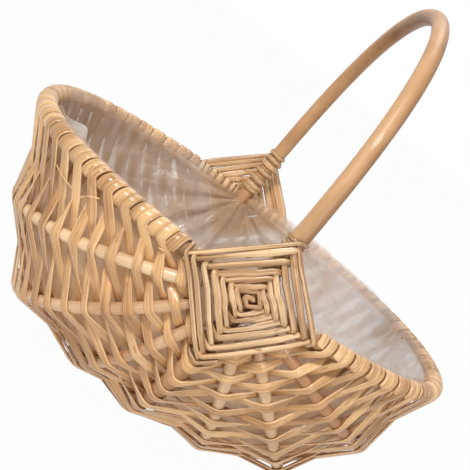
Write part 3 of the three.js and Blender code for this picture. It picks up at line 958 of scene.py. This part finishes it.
# Painted sheen: whitish colour of the film towards its right side and on the lip.
film_painted_sheen = (0.93, 0.915, 0.90, 1)
film_backed = (0.66, 0.47, 0.31, 1)
# Painted shade on the film's outer face between the strips, warmed as painted bounce light from the weave.
film_outside_painted_shade = (0.58, 0.30, 0.11, 1)
# Painted highlight: pale patches on the film's outer face.
film_outside_painted_highlight = (0.86, 0.66, 0.45, 1)
film_on_lashing = (0.74, 0.53, 0.36, 1)
# Painted shade: dark brown outer face of the film caps, seen in the gaps of the lashings.
film_painted_shade_under_lashing = (0.22, 0.10, 0.04, 1)
film_shine_through = (0.72, 0.50, 0.30, 1)
painted_sheen_span = (-0.1, 0.13, 0.0, 1.0)
painted_sheen_hold = 0.07
backing_strength = 1.6
backing_fade_span = (0.0, 1.0, 1.0, 0.12)
milk_hold_span = (0.3, 0.7, -0.1, 0.1)
patch_span = (0.45, 0.68, 0.0, 0.75)
roughness_span = (0.0, 1.0, 0.2, 0.5)
through_span = (0.0, 1.0, 0.32, 0.208)
wrinkle_strength = 0.4
wrinkle_depth = 0.004
meridians = [left_rim] + [rib_bow(order, -1, True) for order in range(rib_count)] + [keel]
meridians += [rib_bow(order, 1, True) for order in reversed(range(rib_count))] + [right_rim]


def bell(path, place, reach):
    """Bell curve along a path about a place on it, given as a distance from its start."""
    return np.exp(-((travelled(path) - place) / reach) ** 2)


def liner_surface():
    """Grid of rows round the rods and columns from rim to rim: straight from rod to rod, pushed outwards
    between them by the slack, creased by slanting waves, and carried on upwards past both rims as a low lip.
    Returns the points and four marks: where the weave touches, how much the film holds back, cap and wall."""
    share = np.linspace(0, 1, liner_rows)
    cap = np.linspace(liner_cap_hole_share, 1, liner_cap_rows, endpoint=False)
    fullness = np.concatenate([cap, np.ones(liner_rows), cap[::-1]])[:, None]
    ridges = []
    insides = []
    for order, (line, (rod, radius, hidden)) in enumerate(zip(meridians, warps)):
        length = travelled(line)[-1]
        start = (length - travelled(rod)[-1]) / 2 + hidden
        woven = start + share * (length - 2 * start)
        ridges.append(along(line, np.concatenate([start * cap, woven, length - start * cap[::-1]])))
        insides.append(wrap_centre + wrap_crown / 2 if order in (0, last_warp) else radius + skein_crown)
    ridges = np.stack(ridges, axis=1)
    runs = unit(np.gradient(ridges, axis=0))
    across = np.gradient(ridges, axis=1)
    across[:, 0] = -straight_up
    across[:, -1] = straight_up
    outs = unit(np.cross(runs, across))
    near_end = 1 - np.clip(np.minimum(share, 1 - share) / liner_easing_share, 0, 1)
    near_end = np.pad(near_end, liner_cap_rows, constant_values=1)
    inset = np.array(insides) + liner_clearance + liner_cap_inset * near_end[:, None]
    ridges = ridges - outs * inset[..., None]

    place = np.linspace(0, last_warp, last_warp * liner_columns + 1)
    low = np.minimum(place.astype(int), last_warp - 1)
    part = (place - low)[None, :, None]
    points = ridges[:, low] * (1 - part) + ridges[:, low + 1] * part
    normals = unit(outs[:, low] * (1 - part) + outs[:, low + 1] * part)
    u, v = np.meshgrid(np.linspace(0, 1, len(fullness)), place, indexing="ij")
    crease = np.zeros_like(u)
    for _ in range(crease_count):
        rate = chance.uniform(-1, 1, 2) * crease_rates
        crease += np.abs(np.sin(rate[0] * u + rate[1] * v + chance.uniform(0, crease_phase)))
    crease = crease / crease_count - crease_mean
    bulge = (liner_slack * np.sin(np.pi * part[..., 0]) ** 2 + crease_depth * crease) * fullness
    points = points + normals * bulge[..., None]

    rows = len(points)
    lip = np.arange(1, lip_columns + 1) / lip_columns
    fold = bell(points[:, 0], fold_place, fold_reach)
    fold = (fold * (1 + waver(rows, fold_waver, fold_waver_turns)))[:, None]
    veil = bell(points[:, 0], veil_place, veil_reach)[:, None]
    far = np.clip(points[:, -1, 1:2] / rim_half_width, 0, 1)
    left_height = lip_height + waver(rows, lip_waver, lip_waver_turns)[:, None]
    left_height = left_height + fold_height * fold + veil_rise * veil
    right_height = lip_height + waver(rows, lip_waver, lip_waver_turns)[:, None] + far_rise * far
    left_lip = points[:, :1] + straight_up * (lip[::-1] * left_height)[..., None]
    left_lip = left_lip - normals[:, :1] * (lip[::-1] ** 2 * fold_lean * fold)[..., None]
    right_lip = points[:, -1:] + straight_up * (lip * right_height)[..., None]

    beside = ((0, 0), (lip_columns, lip_columns))
    woven_rows = np.pad(share * row_count, liner_cap_rows, constant_values=(0, row_count))[:, None]
    touch = 0.5 + 0.5 * np.cos(np.pi * (woven_rows - 0.5)) * np.cos(np.pi * place)
    touch = np.pad(touch * fullness, beside)
    wall = np.pad(np.ones((rows, len(place))), beside)
    capped = np.clip((1 - fullness) / liner_cap_fade, 0, 1) * np.ones_like(wall)
    hold = cap_hold + (wall_hold - cap_hold) * fullness ** 2
    hold = hold * (lip_hold + (1 - lip_hold) * wall)
    hold[:, :lip_columns] += fold_hold * fold + veil_hold * veil
    hold[:, -lip_columns:] += far_hold * far
    grid = np.concatenate([left_lip, points, right_lip], axis=1)
    return grid, {"touch": touch, "hold": hold, "cap": capped, "wall": wall}


def clear_film():
    """Film finish: part see-through, part milky skin that lets light through. Inside, the skin takes the
    colour
    of what lies behind it: haze on the left, weave where it touches, and lashings at the caps, and it is
    painted whiter towards the right as painted sheen, like the lip. Outside it is painted shade warmed as
    painted bounce light, with painted highlight patches, and painted shade over the lashings."""
    finish = bpy.data.materials.new("clear_film")
    tree = fresh_nodes(finish)
    place = node(tree, "TexCoord").outputs["Object"]

    def cloud(scale, detail, distortion):
        """Drifting noise in the film's own place."""
        drift = {"Vector": place, "Scale": scale, "Detail": detail, "Distortion": distortion}
        return node(tree, "TexNoise", drift).outputs["Fac"]

    milk = cloud(scale=26.0, detail=4.0, distortion=1.2)
    patch = ranged(tree, cloud(scale=13.0, detail=3.0, distortion=1.0), patch_span)
    painted_sheen_share = ranged(tree, node(tree, "SeparateXYZ", {0: place}).outputs["X"], painted_sheen_span)
    walled = mark(tree, "wall")
    capped = mark(tree, "cap")
    behind = maths(tree, "MULTIPLY", node(tree, "NewGeometry").outputs["Backfacing"], walled)
    held = maths(tree, "ADD", mark(tree, "hold"), ranged(tree, milk, milk_hold_span), clamp=True)
    held = maths(tree, "ADD", held, maths(tree, "MULTIPLY", painted_sheen_share, painted_sheen_hold), clamp=True)
    backed = maths(tree, "MULTIPLY", mark(tree, "touch"), milk)
    backed = maths(tree, "MULTIPLY", backed, backing_strength, clamp=True)
    backed = maths(tree, "MULTIPLY", backed, ranged(tree, painted_sheen_share, backing_fade_span))
    backed = maths(tree, "MAXIMUM", backed, patch)
    # Inside: haze and weave, whitened towards the right as painted sheen.
    inside = tinted(tree, backed, tinted(tree, painted_sheen_share, film_haze, film_painted_sheen), film_backed)
    # Outer face: painted shade with painted highlight patches.
    outside = tinted(tree, patch, film_outside_painted_shade, film_outside_painted_highlight)
    tint = tinted(tree, walled, film_painted_sheen, tinted(tree, behind, inside, outside))
    # Caps: the lashing's colour inside, painted shade outside.
    lashed = tinted(tree, behind, film_on_lashing, film_painted_shade_under_lashing)
    tint = tinted(tree, capped, tint, lashed)
    wrinkle = node(tree, "Bump", {
        "Height": cloud(scale=32.0, detail=2.0, distortion=1.5),
        "Strength": wrinkle_strength,
        "Distance": wrinkle_depth,
    })
    skin = node(tree, "BsdfPrincipled", {
        "Base Color": tint,
        "Roughness": ranged(tree, capped, roughness_span),
        "Normal": wrinkle.outputs[0],
    })
    glow = node(tree, "BsdfTranslucent", {"Color": film_shine_through})
    body = either_shader(tree, ranged(tree, painted_sheen_share, through_span), skin, glow)
    surface = either_shader(tree, held, node(tree, "BsdfTransparent"), body)
    node(tree, "OutputMaterial", {"Surface": surface.outputs[0]})
    return finish


grid, marks = liner_surface()
rows, columns = grid.shape[:2]
points = grid.reshape(-1, 3)
i, j = np.meshgrid(np.arange(rows - 1), np.arange(columns - 1), indexing="ij")
along_rows = np.stack([i, i, i + 1, i + 1], axis=-1)
along_columns = np.stack([j, j + 1, j + 1, j], axis=-1)
quads = (along_rows * columns + along_columns).reshape(-1, 4)
uv = np.stack([along_columns / columns, along_rows / rows], axis=-1).reshape(-1, 2) * film_map_side
piece = put("liner_film", points, quads.tolist(), uv, clear_film(), marks)
corners = points[quads]
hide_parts("liner")
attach(piece, "root")
